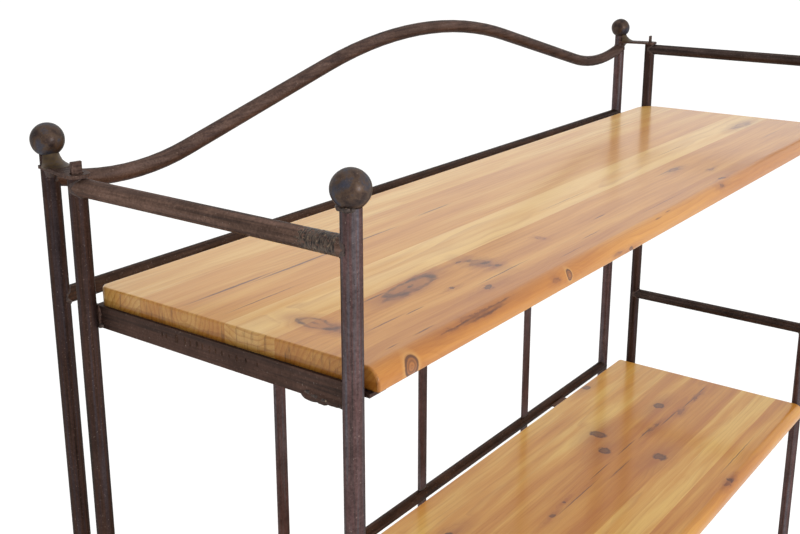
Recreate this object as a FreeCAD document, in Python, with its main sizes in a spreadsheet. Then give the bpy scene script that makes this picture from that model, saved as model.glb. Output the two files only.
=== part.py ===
"""Bakers rack: a bent iron back panel, two iron side frames and loose pine shelves.

Frame: millimetres, +Z up from the floor, +X to the right seen from the front, +Y to the back.
The origin is on the floor under the middle of the rack.
"""
import FreeCAD, Part
import math
import os

SHELF_COUNT = 4
# two places closer than this are taken as one
SAME_PLACE = 1e-6

# Driving dimensions
SIZES = {
    # round tube that every post, rail and the arch is cut from
    "tube_diameter": 16.0,
    "tube_wall": 1.5,
    # what a tube or angle end leaves for the weld where it meets a round post
    "weld_gap": 0.05,
    # spacing of the posts, axis to axis
    "frame_width": 1155.0,
    "side_depth": 293.5,
    "back_gap": 49.5,
    "back_inset": 10.0,
    # back rail axes, counted from the floor
    "lowest_rail_height": 160.0,
    "shelf_pitch": 460.0,
    # heights above the axis of the back rail of the same tier
    "side_rail_rise": 111.0,
    "guard_rail_rise": 145.0,
    "front_ball_rise": 153.0,
    "back_ball_rise": 143.5,
    # ball finials
    "ball_diameter": 30.0,
    "spigot_length": 20.0,
    "spigot_clearance": 0.2,
    # arch between the back posts
    "arch_rise": 91.5,
    "dip_reach": 83.5,
    "run_steepness_share": 1.392,
    "crown_radius_share": 0.714,
    # flat bars between the back rails
    "bar_width": 17.0,
    "bar_thickness": 3.0,
    "bar_place_share": 0.252,
    # tabs on the back rails that carry the rear edge of a shelf
    "tab_width": 38.0,
    "tab_thickness": 3.0,
    "tab_inset": 185.5,
    "tab_lap": 8.0,
    # angle irons that carry the ends of a shelf
    "angle_leg": 20.0,
    "angle_thickness": 3.0,
    "angle_bite": 0.6,
    "angle_lip": 3.2,
    "angle_front_reach": 9.0,
    "angle_rear_reach": 6.0,
    # pine shelves
    "shelf_thickness": 19.0,
    "shelf_seat": 1.0,
    "shelf_end_clearance": 1.6,
    "shelf_front_overhang": 14.0,
    "shelf_rear_reach": 16.0,
    "top_shelf_shortfall": 17.0,
    "nose_radius": 13.0,
    "edge_radius": 1.5,
    # slotted plates of the back panel, and the tongues of the side frames that they drop over
    "plate_thickness": 3.0,
    "plate_width": 21.0,
    "plate_front_reach": 10.0,
    "plate_corner": 8.0,
    "slot_clearance": 1.25,
    "tongue_width": 9.5,
    "tongue_thickness": 3.0,
    "tongue_rise": 10.0,
    "post_cap": 3.0,
    "rear_post_stand": 0.5,
    # how far every cutting shape runs past what it cuts
    "cut_overrun": 5.0,
}

doc = FreeCAD.newDocument("bakers_rack")
sheet = doc.addObject("Spreadsheet::Sheet", "sizes")
for row, (alias, value) in enumerate(SIZES.items(), start=1):
    sheet.set(f"A{row}", alias)
    sheet.set(f"B{row}", str(value))
    sheet.setAlias(f"B{row}", alias)
doc.recompute()

# Places that several pieces share, as formulas on the sheet; the left half of the rack has negative X
TUBE_RADIUS = "sizes.tube_diameter / 2"
BORE_RADIUS = "(sizes.tube_diameter / 2 - sizes.tube_wall)"
SEAT_RADIUS = "(sizes.tube_diameter / 2 + sizes.weld_gap)"
SIDE_X = "-sizes.frame_width / 2"
BACK_X = "(sizes.back_inset - sizes.frame_width / 2)"
FRONT_Y = "-(sizes.side_depth + sizes.back_gap) / 2"
REAR_Y = "(sizes.side_depth - sizes.back_gap) / 2"
BACK_Y = "(sizes.side_depth + sizes.back_gap) / 2"
ANGLE_X = f"({SIDE_X} + {TUBE_RADIUS} - sizes.angle_bite)"
BALL_SEAT = "sqrt(pow(sizes.ball_diameter; 2) - pow(sizes.tube_diameter; 2)) / 2"


def tier_z(tier):
    """Height of the back rail's axis at a tier, counted from 1 at the top."""
    return f"(sizes.lowest_rail_height + {SHELF_COUNT - tier} * sizes.shelf_pitch)"


TOP_Z = tier_z(1)
FRONT_BALL_Z = f"({TOP_Z} + sizes.front_ball_rise)"
BACK_BALL_Z = f"({TOP_Z} + sizes.back_ball_rise)"
SIDE_RAIL_Z = f"({TOP_Z} + sizes.side_rail_rise)"
REAR_POST_TOP = f"({SIDE_RAIL_Z} + {TUBE_RADIUS} + sizes.rear_post_stand)"

# Turns that lay a cylinder's own Z along a row axis
ALONG = {
    "X": FreeCAD.Rotation(FreeCAD.Vector(0, 1, 0), 90),
    "Y": FreeCAD.Rotation(FreeCAD.Vector(1, 0, 0), -90),
    "Z": FreeCAD.Rotation(),
}
nodes = []


def bind(item, formulas):
    for key, formula in formulas.items():
        item.setExpression(key, formula)
    return item


def place(item, x, y, z):
    """Bind the place of an object's own origin to formulas on the sheet."""
    return bind(item, {".Placement.Base.x": x, ".Placement.Base.y": y, ".Placement.Base.z": z})


def rod(name, along, radius, length, x, y, z):
    item = doc.addObject("Part::Cylinder", name)
    item.Placement = FreeCAD.Placement(FreeCAD.Vector(), ALONG[along])
    bind(item, {"Radius": radius, "Height": length})
    return place(item, x, y, z)


def box(name, length, width, height, x, y, z):
    item = doc.addObject("Part::Box", name)
    bind(item, {"Length": length, "Width": width, "Height": height})
    return place(item, x, y, z)


def fused(name, shapes):
    item = doc.addObject("Part::MultiFuse", name)
    item.Shapes = shapes
    return item


def cut(name, base, tools):
    item = doc.addObject("Part::Cut", name)
    item.Base = base
    item.Tool = tools[0] if len(tools) == 1 else fused(f"{name}_cutter", tools)
    return item


def node(item, label):
    """Give a finished sub-part the label that names its file."""
    item.Label = label
    nodes.append(item)
    return item


def mirrored(item, label):
    """The same sub-part on the right half of the rack."""
    copy = doc.addObject("Part::Mirroring", label)
    copy.Source = item
    copy.Normal = FreeCAD.Vector(1, 0, 0)
    return node(copy, label)


def pair(item, name):
    node(item, f"{name}_left")
    mirrored(item, f"{name}_right")


def edges_where(feature, test):
    """Names of the edges of a feature whose bounding box passes a test."""
    found = [f"Edge{i}" for i, edge in enumerate(feature.Shape.Edges, start=1) if test(edge.BoundBox)]
    if not found:
        raise RuntimeError(f"no edge found on {feature.Label}")
    return found


def flat(low, high):
    """True where two bounds of an edge are one value, so the edge lies square to that axis."""
    return math.isclose(low, high, abs_tol=SAME_PLACE)


# Posts: open tubes, but the rear posts of the side frames are capped on top
def post(name, x, y, top, bore_top):
    """Makes the left and right post, and returns the rod that cuts what is welded to the left one."""
    outer = rod(f"{name}_outer", "Z", TUBE_RADIUS, top, x, y, "0")
    bore_length = f"{bore_top} + sizes.cut_overrun"
    bore = rod(f"{name}_bore", "Z", BORE_RADIUS, bore_length, x, y, "-sizes.cut_overrun")
    pair(cut(name, outer, [bore]), name)
    return rod(f"{name}_seat", "Z", SEAT_RADIUS, top, x, y, "0")


front_top = f"({FRONT_BALL_Z} - {BALL_SEAT})"
back_top = f"({BACK_BALL_Z} - {BALL_SEAT})"
past_top = " + sizes.cut_overrun"
front_seat = post("front_post", SIDE_X, FRONT_Y, front_top, front_top + past_top)
rear_seat = post("rear_post", SIDE_X, REAR_Y, REAR_POST_TOP, f"{REAR_POST_TOP} - sizes.post_cap")
back_seat = post("back_post", BACK_X, BACK_Y, back_top, back_top + past_top)
far_back_seat = rod("far_back_seat", "Z", SEAT_RADIUS, back_top, f"-{BACK_X}", BACK_Y, "0")


# Ball finials: a ball with a flat seat as wide as the tube, and a spigot that drops into the bore
def ball(name, x, y, z):
    sphere = doc.addObject("Part::Sphere", f"{name}_sphere")
    seat_angle = "-acos(sizes.tube_diameter / sizes.ball_diameter)"
    bind(sphere, {"Radius": "sizes.ball_diameter / 2", "Angle1": seat_angle})
    place(sphere, x, y, z)
    spigot_radius = f"{BORE_RADIUS} - sizes.spigot_clearance"
    spigot_length = f"(sizes.spigot_length + {BALL_SEAT})"
    spigot = rod(f"{name}_spigot", "Z", spigot_radius, spigot_length, x, y, f"{z} - {spigot_length}")
    pair(fused(name, [sphere, spigot]), name)


ball("front_ball", SIDE_X, FRONT_Y, FRONT_BALL_Z)
ball("back_ball", BACK_X, BACK_Y, BACK_BALL_Z)


# Rails of the side frames: a top rail, and a guard rail above every lower shelf, fitted to the posts' round
def side_rail(name, z):
    length = "sizes.side_depth"
    outer = rod(f"{name}_outer", "Y", TUBE_RADIUS, length, SIDE_X, FRONT_Y, z)
    bore = rod(f"{name}_bore", "Y", BORE_RADIUS, length, SIDE_X, FRONT_Y, z)
    pair(cut(name, outer, [bore, front_seat, rear_seat]), name)


side_rail("side_rail", SIDE_RAIL_Z)
for tier in range(2, SHELF_COUNT + 1):
    side_rail(f"guard_rail_{tier}", f"{tier_z(tier)} + sizes.guard_rail_rise")

# Back rails, one behind every shelf
rail_rods = {}
for tier in range(1, SHELF_COUNT + 1):
    span = f"-2 * {BACK_X}"
    name = f"back_rail_{tier}"
    rail_rods[tier] = rod(f"{name}_outer", "X", TUBE_RADIUS, span, BACK_X, BACK_Y, tier_z(tier))
    rail_bore = rod(f"{name}_bore", "X", BORE_RADIUS, span, BACK_X, BACK_Y, tier_z(tier))
    node(cut(name, rail_rods[tier], [rail_bore, back_seat, far_back_seat]), name)

# Flat bars between two back rails: at the middle, and half way to each post
for tier in range(2, SHELF_COUNT + 1):
    for column, offset in (("middle", "0"), ("left", f"2 * sizes.bar_place_share * {BACK_X}")):
        name = f"bar_{tier}_{column}"
        bar = box(
            f"{name}_blank", "sizes.bar_width", "sizes.bar_thickness", "sizes.shelf_pitch",
            f"{offset} - sizes.bar_width / 2", f"{BACK_Y} - sizes.bar_thickness / 2", tier_z(tier),
        )
        bar = node(cut(name, bar, [rail_rods[tier], rail_rods[tier - 1]]), name)
    mirrored(bar, f"bar_{tier}_right")


def rear_reach(tier):
    """How far a shelf runs back past the rear posts' axis; the top board is cut shorter than the others."""
    return "(sizes.shelf_rear_reach - sizes.top_shelf_shortfall)" if tier == 1 else "sizes.shelf_rear_reach"


# Tabs on the back rails, reaching forward under the shelf's rear edge
for tier in range(1, SHELF_COUNT + 1):
    tab_reach = f"(sizes.back_gap - {rear_reach(tier)} + sizes.tab_lap)"
    tab = box(
        f"tab_{tier}_blank", "sizes.tab_width", tab_reach, "sizes.tab_thickness",
        f"{BACK_X} + sizes.tab_inset - sizes.tab_width / 2", f"{BACK_Y} - {tab_reach}",
        f"{tier_z(tier)} + sizes.shelf_seat - sizes.tab_thickness",
    )
    pair(cut(f"tab_{tier}", tab, [rail_rods[tier]]), f"tab_{tier}")

# Angle irons: the upright leg stands above the seat as a lip and stops at the front post, and the top leg
# runs on past the post under the shelf
for tier in range(1, SHELF_COUNT + 1):
    angle_top = f"{tier_z(tier)} + sizes.shelf_seat"
    top_leg = box(
        f"angle_{tier}_top", "sizes.angle_leg",
        "sizes.angle_front_reach + sizes.side_depth + sizes.angle_rear_reach", "sizes.angle_thickness",
        ANGLE_X, f"{FRONT_Y} - sizes.angle_front_reach", f"{angle_top} - sizes.angle_thickness",
    )
    upright_leg = box(
        f"angle_{tier}_upright", "sizes.angle_thickness", "sizes.side_depth + sizes.angle_rear_reach",
        "sizes.angle_leg", ANGLE_X, FRONT_Y, f"{angle_top} + sizes.angle_lip - sizes.angle_leg",
    )
    angle = fused(f"angle_{tier}_blank", [top_leg, upright_leg])
    pair(cut(f"angle_{tier}", angle, [front_seat, rear_seat]), f"angle_{tier}")

# The back posts stand nearer the middle than the rear posts, so what joins them is turned about the upright
HOOK_SPAN = "sqrt(pow(sizes.back_gap; 2) + pow(sizes.back_inset; 2))"


def turned_body(name, x, y, z):
    """A body whose own Y runs from the left rear post to the left back post."""
    body = doc.addObject("PartDesign::Body", name)
    bind(body, {".Placement.Rotation.Angle": "-atan(sizes.back_inset / sizes.back_gap)"})
    return place(body, x, y, z)


# Tongues on the capped rear posts
def tongue():
    body = turned_body("tongue", SIDE_X, REAR_Y, REAR_POST_TOP)
    blank = body.newObject("PartDesign::AdditiveBox", "tongue_blank")
    height = "sizes.plate_thickness + sizes.tongue_rise"
    bind(blank, {"Length": "sizes.tongue_width", "Width": "sizes.tongue_thickness", "Height": height})
    place(blank, "-sizes.tongue_width / 2", "-sizes.tongue_thickness / 2", "0")
    return body


pair(tongue(), "tongue")


# Slotted plates: welded to the back posts, lying on the rear posts with the tongue through the slot
def hook_plate():
    plate_depth = f"(sizes.plate_front_reach + {HOOK_SPAN})"
    body = turned_body("hook_plate", BACK_X, BACK_Y, REAR_POST_TOP)
    blank = body.newObject("PartDesign::AdditiveBox", "hook_plate_blank")
    bind(blank, {"Length": "sizes.plate_width", "Width": plate_depth, "Height": "sizes.plate_thickness"})
    place(blank, "-sizes.plate_width / 2", f"-{plate_depth}", "0")
    cut_height = "sizes.plate_thickness + 2 * sizes.cut_overrun"
    slot = body.newObject("PartDesign::SubtractiveBox", "hook_plate_slot")
    slot_length = "(sizes.tongue_width + 2 * sizes.slot_clearance)"
    slot_width = "(sizes.tongue_thickness + 2 * sizes.slot_clearance)"
    bind(slot, {"Length": slot_length, "Width": slot_width, "Height": cut_height})
    place(slot, f"-{slot_length} / 2", f"-{HOOK_SPAN} - {slot_width} / 2", "-sizes.cut_overrun")
    seat = body.newObject("PartDesign::SubtractiveCylinder", "hook_plate_seat")
    bind(seat, {"Radius": TUBE_RADIUS, "Height": cut_height})
    place(seat, "0", "0", "-sizes.cut_overrun")
    doc.recompute()
    low = seat.Shape.BoundBox.YMin
    corners = edges_where(seat, lambda b: flat(b.XMin, b.XMax) and flat(b.YMin, b.YMax) and flat(b.YMin, low))
    rounded = body.newObject("PartDesign::Fillet", "hook_plate_corners")
    rounded.Base = (seat, corners)
    rounded.setExpression("Radius", "sizes.plate_corner")
    return body


pair(hook_plate(), "hook_plate")


# Shelves: boards with a large round nose on the top front edge and eased edges elsewhere
def shelf(tier):
    body = doc.addObject("PartDesign::Body", f"shelf_{tier}")
    end = f"({ANGLE_X} + sizes.angle_thickness + sizes.shelf_end_clearance)"
    place(body, end, f"{FRONT_Y} - sizes.shelf_front_overhang", f"{tier_z(tier)} + sizes.shelf_seat")
    board = body.newObject("PartDesign::AdditiveBox", f"shelf_{tier}_board")
    depth = f"sizes.shelf_front_overhang + sizes.side_depth + {rear_reach(tier)}"
    bind(board, {"Length": f"-2 * {end}", "Width": depth, "Height": "sizes.shelf_thickness"})
    doc.recompute()
    size = board.Shape.BoundBox
    nose = body.newObject("PartDesign::Fillet", f"shelf_{tier}_nose")
    nose.Base = (board, edges_where(board, lambda b: flat(b.YMin, b.YMax) and flat(b.YMax, size.YMin)
                                    and flat(b.ZMin, size.ZMax)))
    nose.setExpression("Radius", "sizes.nose_radius")
    doc.recompute()
    eased = body.newObject("PartDesign::Fillet", f"shelf_{tier}_eased")
    eased.Base = (nose, edges_where(nose, lambda b: flat(b.ZMin, b.ZMax) and flat(b.YMin, b.YMax)
                                    and (flat(b.ZMin, size.ZMin) or flat(b.YMin, size.YMax))))
    eased.setExpression("Radius", "sizes.edge_radius")
    return node(body, f"shelf_{tier}")


for tier in range(1, SHELF_COUNT + 1):
    shelf(tier)


# Arch: one bent tube, a crown arc and two dips joined by straight runs that touch both
def arch_path():
    """Centre line from the left post through a dip, up a straight run and over the crown, then mirrored."""
    rise, reach = sheet.arch_rise, sheet.dip_reach
    span = sheet.frame_width / 2 - sheet.back_inset
    dip_x = span - reach
    slope = math.atan(sheet.run_steepness_share * rise / dip_x)
    # the sum of the two radii that lets a run of that slope touch both arcs
    both = (dip_x * math.sin(slope) - rise * math.cos(slope)) / (1 - math.cos(slope))
    crown = sheet.crown_radius_share * both
    dip = both - crown
    top_rail = sheet.lowest_rail_height + (SHELF_COUNT - 1) * sheet.shelf_pitch
    end_z = top_rail + sheet.side_rail_rise
    dip_z = end_z - dip + math.sqrt(dip ** 2 - reach ** 2)
    crown_z = dip_z + rise
    back_y = (sheet.side_depth + sheet.back_gap) / 2

    def at(x, z):
        return FreeCAD.Vector(x, back_y, z)

    def on_dip(turn):
        return -dip_x + dip * math.sin(turn), dip_z + dip * (1 - math.cos(turn))

    def on_crown(turn):
        return crown * math.sin(turn), crown_z - crown * (1 - math.cos(turn))

    post_end, low, dip_end = (-span, end_z), on_dip(0), on_dip(slope)
    crown_start, crown_top, crown_end = on_crown(-slope), on_crown(0), on_crown(slope)

    def other(point):
        return -point[0], point[1]

    return Part.Wire([
        Part.Arc(at(*post_end), at(*low), at(*dip_end)).toShape(),
        Part.LineSegment(at(*dip_end), at(*crown_start)).toShape(),
        Part.Arc(at(*crown_start), at(*crown_top), at(*crown_end)).toShape(),
        Part.LineSegment(at(*crown_end), at(*other(dip_end))).toShape(),
        Part.Arc(at(*other(dip_end)), at(*other(low)), at(*other(post_end))).toShape(),
    ])


def swept(path, radius):
    """A solid round bar of one radius along a path."""
    first = path.Edges[0]
    start, along = first.valueAt(first.FirstParameter), first.tangentAt(first.FirstParameter)
    profile = Part.Wire([Part.Circle(start, along, radius).toShape()])
    return path.makePipeShell([profile], True, False)


doc.recompute()
arch = doc.addObject("Part::Feature", "arch")
path = arch_path()
outside = swept(path, sheet.tube_diameter / 2)
inside = swept(path, sheet.tube_diameter / 2 - sheet.tube_wall)
arch.Shape = outside.cut(inside).cut(back_seat.Shape).cut(far_back_seat.Shape)
arch.Placement = FreeCAD.Placement()
node(arch, "arch")

# Checks, and one file per sub-part
doc.recompute()
for item in doc.Objects:
    if "Invalid" in item.State or "Error" in item.State:
        raise RuntimeError(f"{item.Label} failed: {item.State}")
for item in nodes:
    if item.Shape.isNull() or not item.Shape.isValid() or len(item.Shape.Solids) != 1:
        raise RuntimeError(f"{item.Label} is not one valid solid")
os.makedirs("parts", exist_ok=True)
for item in nodes:
    item.Shape.exportStep(f"parts/{item.Label}.step")
print(len(nodes), "sub-parts, volumes in cubic millimetres:")
for item in nodes:
    print(f"  {item.Label}: {item.Shape.Volume:.0f}")
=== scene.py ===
# %% [markdown]
# # A bakers rack in iron tube and pine
# The rack is two iron side frames, an iron back panel with a bent arch, and four loose pine shelves.
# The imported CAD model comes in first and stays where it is. The lesson then gives it iron and pine,
# rounds the boards as a plane and sander would, and adds the welds that hold the iron together.

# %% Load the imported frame
import math

import bmesh
import bpy
from mathutils import Matrix, Vector, noise


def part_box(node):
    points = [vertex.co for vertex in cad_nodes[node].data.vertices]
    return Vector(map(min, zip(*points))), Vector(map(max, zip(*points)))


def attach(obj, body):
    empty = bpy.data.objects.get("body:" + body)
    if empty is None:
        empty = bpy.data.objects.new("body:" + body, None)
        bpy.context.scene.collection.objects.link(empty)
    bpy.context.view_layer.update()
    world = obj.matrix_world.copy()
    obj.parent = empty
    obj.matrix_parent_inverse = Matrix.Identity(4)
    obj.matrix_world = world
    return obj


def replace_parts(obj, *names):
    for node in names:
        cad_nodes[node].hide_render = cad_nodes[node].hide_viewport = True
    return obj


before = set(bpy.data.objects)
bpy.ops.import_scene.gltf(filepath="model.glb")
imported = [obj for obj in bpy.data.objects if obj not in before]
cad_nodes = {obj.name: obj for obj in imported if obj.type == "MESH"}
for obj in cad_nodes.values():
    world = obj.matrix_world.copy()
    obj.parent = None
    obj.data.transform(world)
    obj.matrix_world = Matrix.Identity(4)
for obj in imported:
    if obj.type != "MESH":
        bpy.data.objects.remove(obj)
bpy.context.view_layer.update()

# %% [markdown]
# ## Sizes that come from the frame
# Every place below is worked out from the boxes of the CAD nodes, so the looks follow the frame when
# its sizes change. Lengths are in metres, as in Blender, and MM turns a maker's millimetres into them.
# The shelves and what belongs to them are counted from the top.

# %% Read the sizes
MM = 0.001
TIERS = range(1, 5)
SIDES = ("left", "right")
FRAME_OF = {side: f"{side}_frame" for side in SIDES}
UP, ACROSS, BACK = Vector((0, 0, 1)), Vector((1, 0, 0)), Vector((0, 1, 0))


def middle(name):
    """The middle of a CAD node's box."""
    low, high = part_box(name)
    return (low + high) / 2


post_low, post_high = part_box("front_post_left")
TUBE_RADIUS = (post_high.x - post_low.x) / 2
print(f"tube {2 * TUBE_RADIUS / MM:.1f} mm, top shelf {middle('shelf_1').z / MM:.0f} mm above the floor")

# %% [markdown]
# ## Helpers for materials
# A colour picker shows sRGB values, while a shader adds up light, which needs linear ones. One function
# turns a hex code into linear values, and one adds a node with its settings, links and ramp stops. Inputs
# are fed by a function of their own, because the shader is there already and only needs feeding. An input
# goes by its name, or by its number where a node has the same name twice: a Map Range has its old range at
# 1 and 2 and its new one at 3 and 4, and a Mix of colours its share at 0 and the colours at 6 and 7. The
# last two turn the sizes of a pattern into the scale that a noise asks for, and start a material.


# %% Colour, node and scale helpers
def linear(code):
    """A colour's sRGB hex code as the linear values that a shader works with."""
    parts = [int(code[i:i + 2], 16) / 255 for i in (1, 3, 5)]
    return tuple(c / 12.92 if c <= 0.04045 else ((c + 0.055) / 1.055) ** 2.4 for c in parts) + (1.0,)


def stop_colour(value):
    """A ramp stop's colour, from a hex code, from three values, or from a share as grey."""
    if isinstance(value, str):
        return linear(value)
    return (*value, 1.0) if isinstance(value, tuple) else (value, value, value, 1.0)


def feed(tree, item, inputs):
    """Set a node's inputs to values, or link them to sockets; a node stands for its first output in use."""
    for key, value in inputs.items():
        if isinstance(value, bpy.types.Node):
            value = next(socket for socket in value.outputs if socket.enabled)
        if isinstance(value, bpy.types.NodeSocket):
            tree.links.new(value, item.inputs[key])
        else:
            item.inputs[key].default_value = value


def add(tree, kind, inputs=None, stops=(), steps=False, **settings):
    """Add one node with its settings, its inputs and, for a ramp, the places and colours of its stops."""
    item = tree.nodes.new(f"ShaderNode{kind}")
    for key, value in settings.items():
        setattr(item, key, value)
    feed(tree, item, inputs or {})
    for i, (place, value) in enumerate(stops):
        ramp = item.color_ramp.elements
        if i == 0:
            ramp.remove(ramp[1])
        stop = ramp.new(place) if i else ramp[0]
        stop.position = place
        stop.color = stop_colour(value)
    if steps:
        item.color_ramp.interpolation = "CONSTANT"
    return item


def repeats(sizes, unit=MM):
    """A noise's scale from sizes in mm: unit is MM on Object coordinates and 1 on a board's own."""
    return [1 / (size * unit) for size in sizes]


def new_material(name):
    """An empty material, with its node tree and the shader that its colour goes into."""
    made = bpy.data.materials.new(name)
    made.use_nodes = True
    return made, made.node_tree, made.node_tree.nodes["Principled BSDF"]


print("helpers ready")

# %% [markdown]
# ## Iron with a brown patina
# The tube is mild steel, drawn through a die, then browned with a patina and waxed. The eye sees a dark
# brown metal with faint streaks along the draw, patches that lean to violet and blue, pale specks where
# the scale has come off, and a soft satin shine. Streaks have a direction, so the material is made once
# for each way a tube can run, and again as darker copies: painted shade for pieces that take less light.
# Noise on Object coordinates gives each of these at its own size, and needs no unwrapping.

# %% Sizes and tints of the patina
STREAK_MM, STREAK_LENGTH_MM, PATCH_MM = 3.4, 150, 34
# pits and scale are finer than this on the real tube; they are drawn coarse enough to show
MOTTLE_MM, PIT_MM, DENT_MM, SCALE_MM = 2.6, 1.7, 14, 1.5
DENT_DEPTH, SCALE_DEPTH = 0.7 * MM, 0.18 * MM
# each noise: its size in mm, its detail, and how broken that detail is
NOISES = ((PATCH_MM, 4, 0.6), (MOTTLE_MM, 5, 0.72), (PIT_MM, 2, 0.5), (DENT_MM, 1, 0.5), (SCALE_MM, 3, 0.5))
# how far patches and mottle darken and lighten the tint
CLOUD, FLECK = (0.72, 1.3), (0.62, 1.42)
BARE_STEEL, PIT_BLACK, SHINE_TINT = "#94837a", "#1d1718", "#80766f"
# where each tint of a set lies between the low and the high values of the streaks
SIX_PLACES, FIVE_PLACES = (0.28, 0.40, 0.48, 0.56, 0.66, 0.78), (0.28, 0.42, 0.52, 0.62, 0.75)


def tints(places, codes):
    """Ramp stops from places and a line of hex codes."""
    return list(zip(places, codes.split()))


VIOLET = tints(SIX_PLACES, "#3a3231 #4a3b3a #56403f #4e4546 #554f54 #47454c")
BROWN = tints(FIVE_PLACES, "#423632 #524038 #5f4a40 #675148 #564641")
DARK = tints(FIVE_PLACES, "#312723 #3d2f2a #47352e #4c3932 #3f322e")
# darker tints for the rear posts and the left back post: painted shade
SHADED_UPRIGHT_TINTS = tints(SIX_PLACES, "#261c1b #33251f #3d2b25 #362a29 #3b3234 #2f2a2c")
# darker tints for the back rails: painted shade
SHADED_RAIL_TINTS = tints(FIVE_PLACES, "#291d19 #35261e #3f2c22 #463328 #392b25")
BENT = tints(FIVE_PLACES, "#3a2f2d #483833 #534139 #5a4841 #4c3f3c")
# darker tints for the rails of the right side frame: painted shade
SHADED_SIDE_TINTS = tints(FIVE_PLACES, "#2a2321 #372d2a #413531 #483c38 #3b3230")
# a forged ball was heated red and keeps the straw and blue of its cooling; the blue tints are partly a
# painted reflection of a blue-grey sheen
HEAT_AND_SHEEN_TINTS = tints((0.32, 0.43, 0.51, 0.59, 0.70), "#241d1d #3a2d28 #4b3b30 #3d393d #383b49")
print("eight sets of tints, streaks", STREAK_MM, "mm wide")


# %% Iron recipe
def iron(name, run, tones, metallic=0.66, grit=1.0, polish=(0.34, 0.56), wax=0.0):
    """Patinated steel drawn along the axis run, or forged if run is None; grit is how much dirt shows."""
    made, tree, shader = new_material(name)
    spot = add(tree, "TexCoord").outputs["Object"]
    sizes = [PATCH_MM / 2] * 3
    if run:
        sizes = [STREAK_LENGTH_MM if axis == run else STREAK_MM for axis in "XYZ"]
    drawn = add(tree, "Mapping", {"Vector": spot, "Scale": repeats(sizes)})
    streaks = add(tree, "TexNoise", {"Vector": drawn, "Scale": 1, "Detail": 4, "Roughness": 0.6})
    tint = add(tree, "ValToRGB", {"Fac": streaks}, stops=tones)
    patches, mottle, pits, dents, scale = (
        add(tree, "TexNoise", {"Vector": spot, "Scale": 1 / (size * MM), "Detail": detail,
                               "Roughness": broken})
        for size, detail, broken in NOISES)
    cloud = add(tree, "MapRange", {"Value": patches, 1: 0.3, 2: 0.7, 3: CLOUD[0], 4: CLOUD[1]})
    fleck = add(tree, "MapRange", {"Value": mottle, 1: 0.3, 2: 0.7, 3: FLECK[0], 4: FLECK[1]})
    level = add(tree, "Math", {0: cloud, 1: fleck}, operation="MULTIPLY")
    toned = add(tree, "HueSaturation", {"Value": level, "Fac": grit, "Color": tint})
    # the crests of one noise are rubbed bare, and its hollows are black pits
    bare = add(tree, "ValToRGB", {"Fac": pits}, stops=[(0.66, 0), (0.76, 0.5 * grit)])
    worn = add(tree, "Mix", {0: bare, 6: toned, 7: linear(BARE_STEEL)}, data_type="RGBA")
    hole = add(tree, "ValToRGB", {"Fac": pits}, stops=[(0.24, 0.6 * grit), (0.34, 0)])
    colour = add(tree, "Mix", {0: hole, 6: worn, 7: linear(PIT_BLACK)}, data_type="RGBA")
    shine = add(tree, "MapRange", {"Value": mottle, 1: 0.3, 2: 0.75, 3: polish[0], 4: polish[1]})
    waves = add(tree, "Bump", {"Height": dents, "Strength": 0.4, "Distance": DENT_DEPTH})
    rough = add(tree, "Bump", {"Height": scale, "Strength": 0.4 * grit, "Distance": SCALE_DEPTH,
                               "Normal": waves})
    feed(tree, shader, {"Base Color": colour, "Roughness": shine, "Normal": rough, "Metallic": metallic,
                        "Specular Tint": linear(SHINE_TINT), "Coat Weight": wax, "Coat Roughness": 0.22})
    return made


print("iron recipe ready")

# %% Make the irons
iron_upright = iron("patinated_steel_upright", "Z", VIOLET)
# the darker copies of the iron are painted shade for the parts that take less light
iron_upright_shaded = iron("patinated_steel_upright_painted_shade", "Z", SHADED_UPRIGHT_TINTS, grit=0.75)
iron_across_shaded = iron("patinated_steel_across_painted_shade", "X", SHADED_RAIL_TINTS)
iron_bent = iron("patinated_steel_bent", "X", BENT)
iron_across = iron("patinated_steel_across", "X", BROWN)
iron_along = iron("patinated_steel_along", "Y", BROWN)
iron_along_shaded = iron("patinated_steel_along_painted_shade", "Y", SHADED_SIDE_TINTS)
iron_angle = iron("patinated_angle_steel", "Y", DARK, grit=0.7)
# the ball's blue tints are partly painted reflection
iron_ball = iron("forged_steel_ball", None, HEAT_AND_SHEEN_TINTS, metallic=0.6, grit=0.5, polish=(0.42, 0.56), wax=0.15)
print("iron for uprights, rails, bends, angles and balls")

# %% [markdown]
# ## Weld metal
# A weld cools as a dull grey-black bead, and its high spots are scraped back to tan where the slag was
# chipped away. The colour follows a coarse noise, so that the ripples come out in two tones. Four kinds
# differ in tone and in the size of that noise: plain beads, brushed and chipped ones, and gripped iron.

# %% Make the weld metal
CHIP_MM, CRUST_MM, BRUSHED_MM, SCRAPE_MM, SCRAPE_LENGTH_MM = 3.4, 1.6, 7, 1.4, 5
CRUST_DEPTH, CHIP_TAN = 0.3 * MM, "#a58a6c"
BEAD_TONES = [(0.3, "#33292a"), (0.5, "#433531"), (0.66, "#504038"), (0.8, "#5a4a42")]
OLIVE_TONES = [(0.3, "#33271f"), (0.45, "#40301c"), (0.58, "#4b3a22"), (0.72, "#463930")]
CRUST_TONES = [(0.3, "#241c1a"), (0.5, "#3d312c"), (0.66, "#4c3e36"), (0.8, "#574840")]
GRIP_TONES = [(0.34, "#16100e"), (0.44, "#2c221d"), (0.52, "#4d4036"), (0.75, "#5f4f43")]


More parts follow.
